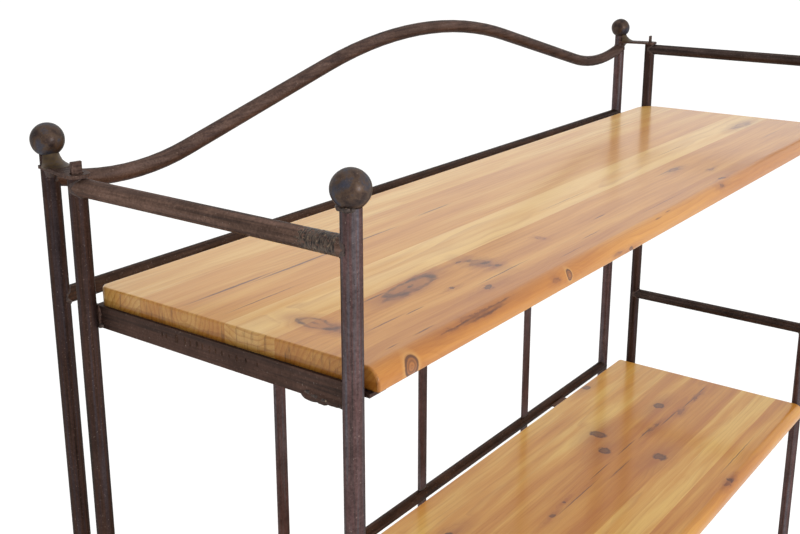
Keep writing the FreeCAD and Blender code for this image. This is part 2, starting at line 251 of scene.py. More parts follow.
def weld_metal(name, tones, tan_from, sizes):
    """Weld steel with a crust of the given sizes, chipped to tan where a noise is above tan_from."""
    made, tree, shader = new_material(name)
    spot = add(tree, "TexCoord").outputs["Object"]
    drawn = add(tree, "Mapping", {"Vector": spot, "Scale": repeats(sizes)})
    crust = add(tree, "TexNoise", {"Vector": drawn, "Scale": 1, "Detail": 4})
    base = add(tree, "ValToRGB", {"Fac": crust}, stops=tones)
    chips = add(tree, "TexNoise", {"Vector": spot, "Scale": 1 / (CHIP_MM * MM), "Detail": 5,
                                   "Roughness": 0.7})
    share = add(tree, "ValToRGB", {"Fac": chips}, stops=[
        (tan_from, 0), (tan_from + 0.06, 0.75), (tan_from + 0.16, 0.2)])
    colour = add(tree, "Mix", {0: share, 6: base, 7: linear(CHIP_TAN)}, data_type="RGBA")
    bump = add(tree, "Bump", {"Height": crust, "Strength": 0.5, "Distance": CRUST_DEPTH})
    feed(tree, shader, {"Base Color": colour, "Normal": bump, "Metallic": 0.5, "Roughness": 0.5})
    return made


weld = weld_metal("weld_bead_steel", BEAD_TONES, 0.70, [CRUST_MM] * 3)
olive_weld = weld_metal("brushed_weld_steel", OLIVE_TONES, 0.74, [BRUSHED_MM] * 3)
chipped_weld = weld_metal("chipped_weld_steel", CRUST_TONES, 0.60, [CRUST_MM] * 3)
gripped_iron = weld_metal("vice_gripped_steel", GRIP_TONES, 0.60,
                          (SCRAPE_LENGTH_MM, SCRAPE_MM, SCRAPE_LENGTH_MM))
print("four kinds of weld metal made")

# %% [markdown]
# ## Lacquered pine, glued up from staves
# Each shelf is a panel of pine staves glued edge to edge, sanded and given a clear gloss lacquer. A stave
# is a stick sawn from a log, so its grain is the log's rings cut lengthwise: stripes on the face and arcs
# on the end. Here every stave gets its own log axis, and the distance from that axis makes the rings.
# Cut this way, the face, the front edge and the end grain agree, as they do in real wood. The marks are
# laid out first, as a joiner would read them off the plank with a rule: from the left end, along the rule,
# which ends at the front edge, and from the top face, each with its reach in the same three directions.

# %% Lay out the first board
FIRST = {
    # staves: where each starts on the rule, its tone, and its log's axis, as shares of the rule and of 120 mm
    "staves": [
        (0.00, 0.22, 0.30, 0.10), (0.20, 0.50, -0.02, 0.20), (0.355, 0.52, 0.367, 0.47),
        (0.515, 0.02, 0.60, 0.92), (0.68, 0.66, 0.95, 0.24), (0.90, 0.88, 0.86, 0.60)],
    "tones": [(0.0, "#cfa865"), (0.3, "#c4944b"), (0.6, "#bb833a"), (1.0, "#a86c2b")],
    "knots": [
        ((197, 287, 0), (6.5, 3.8, 22)), ((177, 263, 0), (2.4, 1.6, 8)), ((240, 226, 0), (4, 1.8, 9)),
        ((252, 248, 0), (4.4, 2.2, 9)), ((254, 261, 0), (3.6, 2, 9)), ((704, 303, 0), (7, 1.6, 6)),
        ((421, 317, -16), (4, 20, 2.4))],
    # branches cut clean across by the front edge, with all their rings
    "ringed": [((40.6, 317, -11.9), (8, 26, 8)), ((290, 317, -8.3), (4.4, 26, 4.8))],
    # loose branches that the trunk grew round, so only a dark rim of bark shows
    "eyes": [((43, 222, 0), (9, 20, 40)), ((160, 230, 0), (35, 10, 40)), ((352, 250, 0), (4, 6, 30))],
    # ragged pockets of bark
    "bark": [
        ((47, 249, 0), (7, 9, 5)), ((136, 236, 0), (20, 5, 6)), ((188, 224, 0), (16, 4, 6)),
        ((249, 244, 0), (8, 16, 6)), ((138, 312, -2), (44, 3.6, 4)), ((714, 239, 0), (18, 3.2, 8)),
        ((746, 275, 0), (9, 2.4, 6)), ((682, 314, -1), (12, 2.6, 4)), ((264, 317, -6.3), (6, 9, 2.4)),
        ((391, 317, -13.5), (7, 9, 1.6)), ((1050, 204, 0), (34, 7, 6))],
    # pitch: thin dark lines that follow the grain
    "pitch": [
        ((66, 108, 0), (66, 1.9, 9)), ((150, 112, 0), (76, 2.1, 9)), ((250, 110.5, 0), (64, 1.6, 6)),
        ((380, 104, 0), (40, 1.4, 6)), ((60, 149, 0), (55, 0.8, 5)), ((118, 312, -1.5), (40, 1.3, 2)),
        ((150, 315, -4), (46, 3, 1.3)), ((170, 311, -1), (34, 1.0, 2)), ((117, 222, 0), (22, 1.5, 5)),
        ((78, 265.5, 0), (30, 0.9, 5)), ((112, 268, 0), (14, 0.9, 5)), ((82, 299, 0), (18, 0.8, 5)),
        ((41, 298.6, 0), (11, 0.8, 5)), ((460, 262, 0), (16, 1.2, 5)), ((240, 275, 0), (56, 0.9, 5)),
        ((700, 236, 0), (46, 0.8, 5)), ((500, 200, 0), (70, 0.5, 5)), ((930, 60, 0), (80, 0.5, 5)),
        ((1010, 262, 0), (56, 0.6, 5)), ((820, 190, 0), (60, 0.5, 5)), ((560, 292, 0), (70, 0.55, 5)),
        ((395, 285, 0), (24, 0.7, 5)), ((498, 312, -1.5), (14, 1.3, 2)), ((528, 310, -0.6), (12, 1.0, 2)),
        ((330, 296, 0), (30, 0.55, 5))]}
print({kind: len(rows) for kind, rows in FIRST.items()}, "on the first board")

# %% Lay out the second board
SECOND = {
    "staves": [
        (0.00, 0.24, 0.20, 0.16), (0.275, 0.42, 0.02, 0.30), (0.40, 0.60, 0.50, 0.30),
        (0.68, 0.24, 0.72, 0.85), (0.765, 0.0, 0.60, 0.90), (0.86, 0.48, 0.80, 0.30)],
    "tones": [(0.0, "#cda657"), (0.3, "#bf8b3b"), (0.6, "#b2772b"), (1.0, "#a36221")],
    "knots": [
        ((841, 95, 0), (9, 13, 40)), ((800, 126, 0), (8, 9, 40)), ((991, 129, 0), (8, 8, 30)),
        ((830, 200, 0), (9, 10, 40)), ((635, 148, 0), (3, 2.4, 10)), ((593, 152, 0), (4, 3, 10)),
        ((985, 3, -2), (8, 6, 6)), ((825, 307, 0), (4, 4, 8)), ((300, 210, 0), (10, 9, 30)),
        ((470, 70, 0), (8, 8, 30)), ((160, 120, 0), (9, 10, 30))],
    "ringed": [((560, 317, -10), (8, 20, 8))],
    "eyes": [((400, 150, 0), (10, 14, 40))],
    "bark": [
        ((915, 154, 0), (20, 3, 6)), ((990, 166, 0), (13, 4, 6)), ((1062, 165, 0), (18, 3, 6)),
        ((820, 309, 0), (16, 2.4, 6))],
    "pitch": [
        ((660, 157, 0), (70, 1.1, 6)), ((765, 169, 0), (42, 1.2, 6)), ((740, 148.5, 0), (40, 1.1, 6)),
        ((830, 148, 0), (36, 1.2, 6)), ((890, 151, 0), (32, 1.3, 6)), ((960, 160, 0), (40, 1.4, 6)),
        ((1030, 163, 0), (34, 1.3, 6)), ((1090, 162, 0), (26, 1.2, 6)), ((900, 290, 0), (90, 0.9, 6)),
        ((300, 250, 0), (120, 0.9, 6)), ((200, 60, 0), (90, 0.9, 6))]}
# the lower two shelves come from the same stack, with their left and right ends swapped
BOARDS = {1: (FIRST, 1), 2: (SECOND, 1), 3: (FIRST, -1), 4: (SECOND, -1)}
print(len(BOARDS), "boards laid out")

# %% [markdown]
# ## Where a point lies in its log
# Object coordinates are turned into a joiner's own: millimetres from the left end, along a rule laid from
# rear to front, and down from the top face. A slow noise sways them, because no tree is straight. A ramp
# with hard steps then tells each point which stave it is in, and the ramp's three channels hold that
# stave's tone and log axis.

# %% Place and log helpers
RULE_MM, LOG_HALF_MM = 317, 60
# the sway's size along, across and down the board, how far it moves the grain, and its step between boards
SWAY_MM, SWAY_REACH_MM, SWAY_STEP = (166.67, 33.333, 33.333), 13, 3.7
# a ramp holds only 0 to 1 and an axis may lie outside the rule, so the rule's ends are kept as these two
AXIS_LOW, AXIS_HIGH = 0.5, 0.9
MIDDLE_GREY = (0.5, 0.5, 0.5)


def board_place(tree, tier):
    """A point's place on its board in mm, the same with the sway of the grain, and the sway itself."""
    # the rule lies with its end mark on the front edge, because the boards are not equally deep
    low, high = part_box(f"shelf_{tier}")
    way = BOARDS[tier][1]
    start = (low.x if way > 0 else high.x) / MM
    spot = add(tree, "TexCoord").outputs["Object"]
    place = add(tree, "Mapping", {"Vector": spot, "Scale": (way / MM, -1 / MM, 1 / MM),
                                  "Location": (-way * start, low.y / MM + RULE_MM, -high.z / MM)})
    slow = add(tree, "Mapping", {"Vector": place, "Scale": repeats(SWAY_MM, 1),
                                 "Location": (tier * SWAY_STEP, 0, 0)})
    sway = add(tree, "TexNoise", {"Vector": slow, "Scale": 1, "Detail": 2})
    centred = add(tree, "VectorMath", {0: sway.outputs["Color"], 1: MIDDLE_GREY}, operation="SUBTRACT")
    swung = add(tree, "VectorMath", {0: centred, 1: (0, SWAY_REACH_MM, SWAY_REACH_MM)}, operation="MULTIPLY")
    grain = add(tree, "VectorMath", {0: place, 1: swung}, operation="ADD")
    return place, grain, sway


def log_place(tree, tier, place, grain):
    """The tone of a point's stave, and its distance from the middle of that stave's log."""
    across = add(tree, "SeparateXYZ", {0: place}).outputs["Y"]
    share = add(tree, "Math", {0: across, 1: RULE_MM}, operation="DIVIDE")
    stave = add(tree, "ValToRGB", {"Fac": share}, steps=True, stops=[
        (start, (tone, AXIS_LOW + (AXIS_HIGH - AXIS_LOW) * y, z))
        for start, tone, y, z in BOARDS[tier][0]["staves"]])
    own = add(tree, "SeparateXYZ", {0: stave}).outputs
    axis_y = add(tree, "MapRange", {"Value": own["Y"], 1: AXIS_LOW, 2: AXIS_HIGH, 3: 0, 4: RULE_MM},
                 clamp=False)
    axis_z = add(tree, "MapRange", {"Value": own["Z"], 1: 0, 2: 1, 3: -LOG_HALF_MM, 4: LOG_HALF_MM},
                 clamp=False)
    axis = add(tree, "CombineXYZ", {"Y": axis_y, "Z": axis_z})
    out = add(tree, "VectorMath", {0: grain, 1: axis}, operation="SUBTRACT")
    flat = add(tree, "VectorMath", {0: out, 1: (0, 1, 1)}, operation="MULTIPLY")
    return own["X"], add(tree, "VectorMath", {0: flat}, operation="LENGTH")


print("log helpers ready")

# %% [markdown]
# ## Rings, flames and fibres
# Early wood is pale and late wood, the thin hard edge of each ring, is darker. The distance from the log's
# axis, counted in rings, leaves a fraction that climbs from 0 to 1 in each ring, and a ramp on it draws
# the late wood. Long soft flames shift the tone, and fine fibres lie over both. A wave texture could draw
# rings as well, but not round an axis of its own for every stave.

# %% Wood helper
RING_MM, FLAME_MM = 5.2, (357.14, 22.222, 22.222)
# real fibres are far finer; they are drawn coarse enough to show
FIBRE_MM = (140, 1.1, 1.1)
# how strongly late wood shows on the faces, where the sway decides, and on the ends
LATE_ON_FACE, LATE_ON_END = (0.04, 0.28), 0.44
# the ends are mixed towards a darker brown: partly end grain, partly painted shade
FLAME_SHIFT, SAWN_AND_SHADE_SHARE = (-0.25, 0.34), 0.35
LATE_WOOD, SAWN_WOOD_AND_SHADE = "#87481a", "#8a5f2e"


def bare_pine(tree, tier, place, grain, sway, aside, end):
    """Colour of the wood before its marks, and its fibres."""
    tone, radius = log_place(tree, tier, place, grain)
    pushed = add(tree, "Math", {0: radius, 1: aside}, operation="ADD")
    turns = add(tree, "Math", {0: pushed, 1: RING_MM}, operation="DIVIDE")
    ring = add(tree, "Math", {0: turns}, operation="FRACT")
    late = add(tree, "ValToRGB", {"Fac": ring}, stops=[
        (0.0, 0.10), (0.5, 0.2), (0.80, 0.75), (0.93, 1), (1.0, 0.10)])
    strength = add(tree, "MapRange", {"Value": sway, 1: 0.35, 2: 0.65,
                                      3: LATE_ON_FACE[0], 4: LATE_ON_FACE[1]})
    shown = add(tree, "MapRange", {"Value": end, 3: strength, 4: LATE_ON_END})
    late_share = add(tree, "Math", {0: late, 1: shown}, operation="MULTIPLY", use_clamp=True)
    flame_map = add(tree, "Mapping", {"Vector": grain, "Scale": repeats(FLAME_MM, 1)})
    flames = add(tree, "TexNoise", {"Vector": flame_map, "Scale": 1, "Detail": 3, "Roughness": 0.55})
    heart = add(tree, "MapRange", {"Value": flames, 1: 0.33, 2: 0.68,
                                   3: FLAME_SHIFT[0], 4: FLAME_SHIFT[1]})
    heart_share = add(tree, "Math", {0: tone, 1: heart}, operation="ADD", use_clamp=True)
    early = add(tree, "ValToRGB", {"Fac": heart_share}, stops=BOARDS[tier][0]["tones"])
    # sawn across, the staves look more alike, and the darker brown is partly end grain and partly painted
    # shade
    sawn_and_shade = add(tree, "Math", {0: end, 1: SAWN_AND_SHADE_SHARE}, operation="MULTIPLY")
    early = add(tree, "Mix", {0: sawn_and_shade, 6: early, 7: linear(SAWN_WOOD_AND_SHADE)}, data_type="RGBA")
    wood = add(tree, "Mix", {0: late_share, 6: early, 7: linear(LATE_WOOD)}, data_type="RGBA")
    fibre_map = add(tree, "Mapping", {"Vector": grain, "Scale": repeats(FIBRE_MM, 1)})
    fibres = add(tree, "TexNoise", {"Vector": fibre_map, "Scale": 1, "Detail": 3})
    fibre_tone = add(tree, "ValToRGB", {"Fac": fibres}, stops=[
        (0.3, 0.36), (0.5, 0.5), (0.7, 0.58)])
    fibred = add(tree, "Mix", {0: 0.5, 6: wood, 7: fibre_tone}, data_type="RGBA",
                 blend_type="SOFT_LIGHT")
    return fibred, fibres


print("wood helper ready")

# %% [markdown]
# ## End grain
# Sawn across, the fibres drink lacquer, so an end is darker and shows its rings more; part of that darker
# tone is painted shade. Short dark cracks, which a joiner calls checks, run up it, and each end grows
# darker and more amber towards its lower edge. A share that is 1 at both ends of a board and 0 between
# them keeps all this off the faces.

# %% End grain helpers
# each end grows darker and more amber between these depths below the top, along a wavy line
END_MM, AMBER_BAND_MM, AMBER_WAVE_MM = 2.2, (-9.8, -11.4), (-2, 2)
# sizes along, across and down the board; inf means that the pattern doesn't change that way
CHECK_MM, WAVE_MM = (math.inf, 4.1667, 33.333), (math.inf, 28.571, math.inf)
AMBER, CHECK_BROWN = "#e6dcc0", "#5c3a16"


def end_share(tree, tier, place):
    """1 on the sawn ends of a board, 0 elsewhere."""
    low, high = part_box(f"shelf_{tier}")
    half = (high.x - low.x) / MM / 2
    along = add(tree, "SeparateXYZ", {0: place}).outputs["X"]
    from_middle = add(tree, "Math", {0: along, 1: half}, operation="SUBTRACT")
    reach = add(tree, "Math", {0: from_middle}, operation="ABSOLUTE")
    return add(tree, "MapRange", {"Value": reach, 1: half - END_MM, 2: half - 0.4 * END_MM})


def end_grain(tree, place, end, wood):
    """The wood with checks on its sawn ends, which grow darker and more amber towards their lower edge."""
    wave_map = add(tree, "Mapping", {"Vector": place, "Scale": repeats(WAVE_MM, 1)})
    waves = add(tree, "TexNoise", {"Vector": wave_map, "Scale": 1, "Detail": 3})
    edge = add(tree, "MapRange", {"Value": waves, 1: 0.3, 2: 0.7,
                                  3: AMBER_WAVE_MM[0], 4: AMBER_WAVE_MM[1]})
    height = add(tree, "SeparateXYZ", {0: place}).outputs["Z"]
    level = add(tree, "Math", {0: height, 1: edge}, operation="ADD")
    # the end grows darker and more amber towards its lower edge
    run = add(tree, "MapRange", {"Value": level, 1: AMBER_BAND_MM[0], 2: AMBER_BAND_MM[1], 3: 0, 4: 1},
              interpolation_type="SMOOTHSTEP")
    amber_share = add(tree, "Math", {0: end, 1: run}, operation="MULTIPLY")
    amber = add(tree, "Mix", {0: amber_share, 6: wood, 7: linear(AMBER)}, data_type="RGBA",
                blend_type="MULTIPLY")
    check_map = add(tree, "Mapping", {"Vector": place, "Scale": repeats(CHECK_MM, 1)})
    checks = add(tree, "TexNoise", {"Vector": check_map, "Scale": 1, "Detail": 4, "Roughness": 0.7})
    check_tone = add(tree, "MapRange", {"Value": checks, 1: 0.54, 2: 0.66, 3: 0, 4: 0.65})
    check_share = add(tree, "Math", {0: check_tone, 1: end}, operation="MULTIPLY")
    return add(tree, "Mix", {0: check_share, 6: amber, 7: linear(CHECK_BROWN)}, data_type="RGBA")


print("end grain helpers ready")

# %% [markdown]
# ## Knots, bark and pitch
# A knot is a branch cut across: it has rings of its own and a dark rim, the wood round it is stained along
# the grain, and the trunk's rings flow round it. Each mark is an ellipsoid with a middle and a reach, and
# the shader asks how far a point is from the nearest one, in units of that reach. A torn noise added to the
# point first makes the outlines ragged. Painted marks would need a picture, while these go right through
# the board, as branches do.


# %% Distance to the nearest mark
def nearest(tree, place, tear, raggedness, marks, stretch):
    """Distance to the nearest mark in units of its reach, plain and drawn out along the grain."""
    moved = add(tree, "VectorMath", {0: tear, 1: raggedness}, operation="MULTIPLY")
    torn = add(tree, "VectorMath", {0: place, 1: moved}, operation="ADD")
    found = []
    for along in (1, stretch) if stretch > 1 else (1,):
        least = None
        for centre, reach in marks:
            sizes = (reach[0] * along, *reach[1:])
            sized = add(tree, "Mapping", {"Vector": torn, "Scale": repeats(sizes, 1),
                                          "Location": [-c / r for c, r in zip(centre, sizes)]})
            away = add(tree, "VectorMath", {0: sized}, operation="LENGTH")
            least = away if least is None else add(tree, "Math", {0: least, 1: away}, operation="MINIMUM")
        found.append(least)
    return found[0], found[-1]


print("mark helper ready")

# %% [markdown]
# ## The finished pine
# Wood, end grain and marks come together here. The marks are laid over the wood in turn, from the soft
# stains to the dark rims and lines. Over all lies the lacquer, which is the shader's own clear coat: it is
# what the eye sees as a white veil at the far end of a board.

# %% Make the pine
# how ragged each kind of mark is along, across and down, in mm, and how far its stain runs along the grain
TEARS = {"knots": ((15, 13, 3), 3.4), "ringed": ((3, 2, 3), 2.4), "eyes": ((8, 9, 2), 1),
         "bark": ((30, 17, 3), 1), "pitch": ((16, 2.4, 2), 1)}
TEAR_MM, TEAR_STEP = (20, 7.6923, 7.6923), 5.3
BREAK_MM, BREAK_STEP = (14.286, 9.0909, 9.0909), 1.9
# how near to a mark the trunk's rings bend aside, and by how many mm
BEND_FROM, BEND_TO, BEND_MM = 0.3, 2.8, 10
SANDED_DEPTH = 0.1 * MM
BRANCH_RINGS = [(0.0, "#9a6231"), (0.05, "#7d4a23"), (0.11, "#965d2e"), (0.17, "#643a1c"), (0.23, "#875228"),
                (0.28, "#4a2a1a"), (0.34, "#52301c"), (0.40, "#c0955a"), (0.5, "#c19350")]


def marked(tree, tier, place, near, wood):
    """The wood with its marks laid over it."""
    # a noise breaks up the rims, so that no outline runs on unchanged
    breaks = add(tree, "Mapping", {"Vector": place, "Scale": repeats(BREAK_MM, 1),
                                   "Location": (tier * BREAK_STEP, 0, 0)})
    patchy = add(tree, "TexNoise", {"Vector": breaks, "Scale": 1, "Detail": 3})
    broken = add(tree, "MapRange", {"Value": patchy, 1: 0.40, 2: 0.58, 3: 0.3, 4: 1})
    knot, stain = near["knots"]
    branch, eye, pocket, line = (near[kind][0] for kind in ("ringed", "eyes", "bark", "pitch"))
    whole = None
    # each layer: its distance, how its share falls off with a third of that, its colour, and what breaks it
    layers = [
        (stain, [(0.2, 0.5), (0.45, 0.28), (0.9, 0)], "#874a20", whole),
        (eye, [(0.30, 0.6), (0.5, 0.3), (0.8, 0)], "#935527", whole),
        (pocket, [(0.3, 0.55), (0.5, 0.3), (0.9, 0)], "#7c4729", whole),
        (knot, [(0.0, 0.85), (0.06, 0.62), (0.2, 0.66), (0.27, 0.9), (0.33, 0.6), (0.42, 0)], "#412119",
         whole),
        (branch, [(0.0, 0.9), (0.34, 0.9), (0.38, 0.45), (0.45, 0.25), (0.56, 0)], BRANCH_RINGS, whole),
        (eye, [(0.04, 0.85), (0.08, 0.2), (0.20, 0.1), (0.28, 0.85), (0.33, 0.7), (0.38, 0)], "#331d1c",
         broken),
        (pocket, [(0.05, 0.45), (0.2, 0.55), (0.27, 0.7), (0.38, 0)], "#573122", broken),
        (line, [(0.13, 0.8), (0.33, 0)], "#402722", whole)]
    for away, shares, tint, breaker in layers:
        third = add(tree, "Math", {0: away, 1: 3}, operation="DIVIDE")
        share = add(tree, "ValToRGB", {"Fac": third}, stops=shares)
        if breaker is not None:
            share = add(tree, "Math", {0: share, 1: breaker}, operation="MULTIPLY")
        shade = linear(tint) if isinstance(tint, str) else add(
            tree, "ValToRGB", {"Fac": third}, stops=tint)
        wood = add(tree, "Mix", {0: share, 6: wood, 7: shade}, data_type="RGBA")
    return wood


def pine(name, tier):
    """Lacquered pine for one board."""
    made, tree, shader = new_material(name)
    place, grain, sway = board_place(tree, tier)
    ragged = add(tree, "Mapping", {"Vector": place, "Scale": repeats(TEAR_MM, 1),
                                   "Location": (0, 0, tier * TEAR_STEP)})
    ripped = add(tree, "TexNoise", {"Vector": ragged, "Scale": 1, "Detail": 4, "Roughness": 0.6})
    tear = add(tree, "VectorMath", {0: ripped.outputs["Color"], 1: MIDDLE_GREY}, operation="SUBTRACT")
    near = {kind: nearest(tree, place, tear, raggedness, BOARDS[tier][0][kind], stretch)
            for kind, (raggedness, stretch) in TEARS.items()}
    nearby = near["knots"][1]
    for kind in ("eyes", "ringed"):
        nearby = add(tree, "Math", {0: nearby, 1: near[kind][1]}, operation="MINIMUM")
    aside = add(tree, "MapRange", {"Value": nearby, 1: BEND_FROM, 2: BEND_TO, 3: BEND_MM, 4: 0},
                interpolation_type="SMOOTHSTEP")
    end = end_share(tree, tier, place)
    wood, fibres = bare_pine(tree, tier, place, grain, sway, aside, end)
    wood = marked(tree, tier, place, near, end_grain(tree, place, end, wood))
    sanded = add(tree, "Bump", {"Height": fibres, "Strength": 0.12, "Distance": SANDED_DEPTH})
    feed(tree, shader, {"Base Color": wood, "Normal": sanded, "Roughness": 0.42, "Specular IOR Level": 0.12,
                        "Coat Weight": 0.48, "Coat Roughness": 0.17, "Coat IOR": 1.5})
    return made


pines = {tier: pine(f"lacquered_pine_{tier}", tier) for tier in TIERS}
print("pine for", len(pines), "boards")

# %% [markdown]
# ## Studio
# The rack stands on a plain pale floor, matt paper that shows no gloss, under soft white light, with one
# large lamp to the right of the camera for the shine on the balls and tubes. The camera stands where the
# photograph was taken: close to the left front corner, a little above the top rail, looking down along the
# shelves.

# %% Floor
FLOOR_HALF = 30.0
floor_mesh = bpy.data.meshes.new("floor")
shape = bmesh.new()
bmesh.ops.create_grid(shape, x_segments=1, y_segments=1, size=FLOOR_HALF)
shape.to_mesh(floor_mesh)
shape.free()
floor = bpy.data.objects.new("floor", floor_mesh)
bpy.context.collection.objects.link(floor)
paper, tree, shader = new_material("matt_white_paper")
feed(tree, shader, {"Base Color": linear("#fbfbfa"), "Roughness": 0.9})
floor_mesh.materials.append(paper)
print("floor", 2 * FLOOR_HALF, "m square")

# %% Light
# white all round, and dimmer to the left, where no lamp stands: that side of each tube stays dark
SKY_LEVEL, DIM_LEVEL, DIM_SIDE = 1.22, 0.70, Vector((-0.94, 0.30, -0.15)).normalized()
LAMP_PLACE, LAMP_AIM, LAMP_SIZE, LAMP_WATTS = Vector((-1.0, -4.0, 2.4)), Vector((-0.2, 0, 1.4)), 1.2, 68
world = bpy.data.worlds.new("studio")
bpy.context.scene.world = world
world.use_nodes = True
sky = world.node_tree
way = add(sky, "TexCoord").outputs["Generated"]
turned = add(sky, "VectorMath", {0: way, 1: DIM_SIDE}, operation="DOT_PRODUCT")
level = add(sky, "MapRange", {"Value": turned, 1: -0.1, 2: 1, 3: SKY_LEVEL, 4: DIM_LEVEL},
            interpolation_type="SMOOTHSTEP")
feed(sky, sky.nodes["Background"], {"Strength": level, "Color": (1, 1, 1, 1)})

lamp_data = bpy.data.lights.new("key_softbox", "AREA")
lamp_data.shape, lamp_data.size, lamp_data.energy = "SQUARE", LAMP_SIZE, LAMP_WATTS
lamp = bpy.data.objects.new("key_softbox", lamp_data)
bpy.context.collection.objects.link(lamp)
lamp.location = LAMP_PLACE
lamp.rotation_euler = (LAMP_AIM - LAMP_PLACE).to_track_quat("-Z", "Y").to_euler()
print("sky and one lamp of", LAMP_WATTS, "W")

# %% Camera
SENSOR_MM, LENS_MM, SHIFT = 36, 49.68, -0.06
CAMERA_PLACE, CAMERA_DOWN, CAMERA_TURN = (-1.1421, -0.6262, 1.8762), 15.77, -53.79
view = bpy.data.cameras.new("camera")
view.sensor_width, view.lens, view.shift_y = SENSOR_MM, LENS_MM, SHIFT
camera = bpy.data.objects.new("camera", view)
bpy.context.collection.objects.link(camera)
camera.location = CAMERA_PLACE
camera.rotation_euler = (math.radians(90 - CAMERA_DOWN), 0, math.radians(CAMERA_TURN))
bpy.context.scene.camera = camera
bpy.context.scene.view_settings.view_transform = "Standard"
print("camera at", CAMERA_PLACE)

# %% [markdown]
# ## Finish for the CAD nodes
# The tubes, bars and plates keep their CAD meshes, whose shape is right. Each takes the iron whose streaks
# run the way the piece was drawn. The back rails, the rear posts, the left back post and the rails of the
# right side frame take darker copies of the iron, which are painted shade for parts that take less light.

# %% Give the CAD nodes their iron
# these rails take a darker iron, which is painted shade
SHADED_RAILS = ["side_rail_right", *(f"guard_rail_{tier}_right" for tier in TIERS[1:])]
# the first start that fits a node's name decides; everything else is an upright
IRONS = {
    **dict.fromkeys(SHADED_RAILS, iron_along_shaded),
    **dict.fromkeys(("side_rail", "guard_rail"), iron_along),
    # the rear posts and the left back post take a darker iron as painted shade
    **dict.fromkeys(("back_post_left", "rear_post"), iron_upright_shaded),
    **dict.fromkeys(("arch", "hook_plate", "tongue"), iron_bent),
    # the back rails take a darker iron as painted shade
    "back_rail": iron_across_shaded, "tab": iron_across, "angle": iron_angle}
for name, item in cad_nodes.items():
    if not name.startswith("shelf"):
        item.material_slots[0].material = next(
            (finish for start, finish in IRONS.items() if name.startswith(start)), iron_upright)
print("iron on", len(cad_nodes) - len(TIERS), "nodes")

# %% [markdown]
# ## Making a piece
# Every new piece goes the same way: a bmesh is shaped, written to a mesh, given a material and told which
# body it rides on. Its object stays at the origin, as the CAD nodes do. Three small helpers join one bmesh
# to another and find or extrude an open rim.

# %% Piece helpers
MERGE, SMOOTH_TO = 0.005 * MM, math.radians(40)


def piece(name, shape, material, body):
    """Turn a bmesh into an object that rides on a body."""
    bmesh.ops.remove_doubles(shape, verts=shape.verts, dist=MERGE)
    bmesh.ops.recalc_face_normals(shape, faces=shape.faces)
    mesh = bpy.data.meshes.new(name)
    shape.to_mesh(mesh)
    shape.free()
    mesh.polygons.foreach_set("use_smooth", [True] * len(mesh.polygons))
    mesh.set_sharp_from_angle(angle=SMOOTH_TO)
    mesh.materials.append(material)
    made = bpy.data.objects.new(name, mesh)
    bpy.context.collection.objects.link(made)
    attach(made, body)
    print(f"{name}: {len(mesh.polygons)} faces on {body}")
    return made


def join(shape, part):
    """Add a finished bmesh to another one and free it."""
    held = bpy.data.meshes.new("held")
    part.to_mesh(held)
    part.free()
    shape.from_mesh(held)
    bpy.data.meshes.remove(held)


def open_rim(shape):
    """The edges with only one face."""
    return [e for e in shape.edges if e.is_boundary]


def extruded_rim(shape):
    """Extrude the open rim in place and return its new points."""
    made = bmesh.ops.extrude_edge_only(shape, edges=open_rim(shape))["geom"]
    return [v for v in made if isinstance(v, bmesh.types.BMVert)]


print("piece helpers ready")

# %% [markdown]
# ## Shelf boards
# A board starts as a block the size of its CAD node. The front top edge is rounded over with a large
# cutter, the rear corners are rounded in plan, and every other edge is eased with sandpaper. Bevels do
# all three, with the corners first and the fine easing last, because it runs on round the other two.
# Weighted normals keep the wide faces flat to the light.

# %% Make the boards
NOSE, EASE, NEAR, SHARP_FROM = 13 * MM, 2.2 * MM, 0.1 * MM, math.radians(50)
CORNER_STEPS, NOSE_STEPS, EASE_STEPS = 10, 12, 3
# how round the rear corners were cut, left and right: no two boards are alike
CORNERS = {1: (9 * MM, 28 * MM), 2: (6 * MM, 5 * MM), 3: (6 * MM, 9 * MM), 4: (5 * MM, 6 * MM)}


def bevelled(shape, edges, width, segments):
    """Round some edges of a board."""
    bmesh.ops.bevel(shape, geom=edges, offset=width, offset_type="OFFSET", affect="EDGES", segments=segments,
                    profile=0.5, material=-1, clamp_overlap=True)


def board(tier):
    """A shelf board with its nose, corners and eased edges."""
    low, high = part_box(f"shelf_{tier}")
    shape = bmesh.new()
    bmesh.ops.create_cube(shape, size=1)
    bmesh.ops.scale(shape, vec=high - low, verts=shape.verts)
    bmesh.ops.translate(shape, vec=(low + high) / 2, verts=shape.verts)
    for end, radius in zip((low.x, high.x), CORNERS[tier]):
        upright = [e for e in shape.edges if abs(e.verts[0].co.z - e.verts[1].co.z) > NEAR
                   and e.verts[0].co.y > high.y - NEAR and abs(e.verts[0].co.x - end) < NEAR]
        bevelled(shape, upright, radius, CORNER_STEPS)
    nose = [e for e in shape.edges if all(v.co.y < low.y + NEAR and v.co.z > high.z - NEAR for v in e.verts)]
    bevelled(shape, nose, NOSE, NOSE_STEPS)
    sharp = [e for e in shape.edges if e.calc_face_angle(0) > SHARP_FROM]
    bevelled(shape, sharp, EASE, EASE_STEPS)
    made = piece(f"board_{tier}", shape, pines[tier], f"shelf_{tier}")
    made.modifiers.new("flat_faces", "WEIGHTED_NORMAL").keep_sharp = True
    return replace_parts(made, f"shelf_{tier}")


for tier in TIERS:
    board(tier)

# %% [markdown]
# ## Ball finials
# A forged ball sits on each front post and each back post. It is a sphere cut off where it meets the tube,
# with a narrow undercut below it, because a real ball never closes quite on the tube and the eye reads a
# dark line there. A little noise along the normals leaves the marks of the hammer.

# %% Make the balls
UNDERCUT, NECK_SHARE, FOOT_DEPTH = 0.9 * MM, 0.8, 2.7 * MM
HAMMER_MM, HAMMER_DEPTH, BALL_ROUND, BALL_TALL = 9, 0.22 * MM, 56, 36


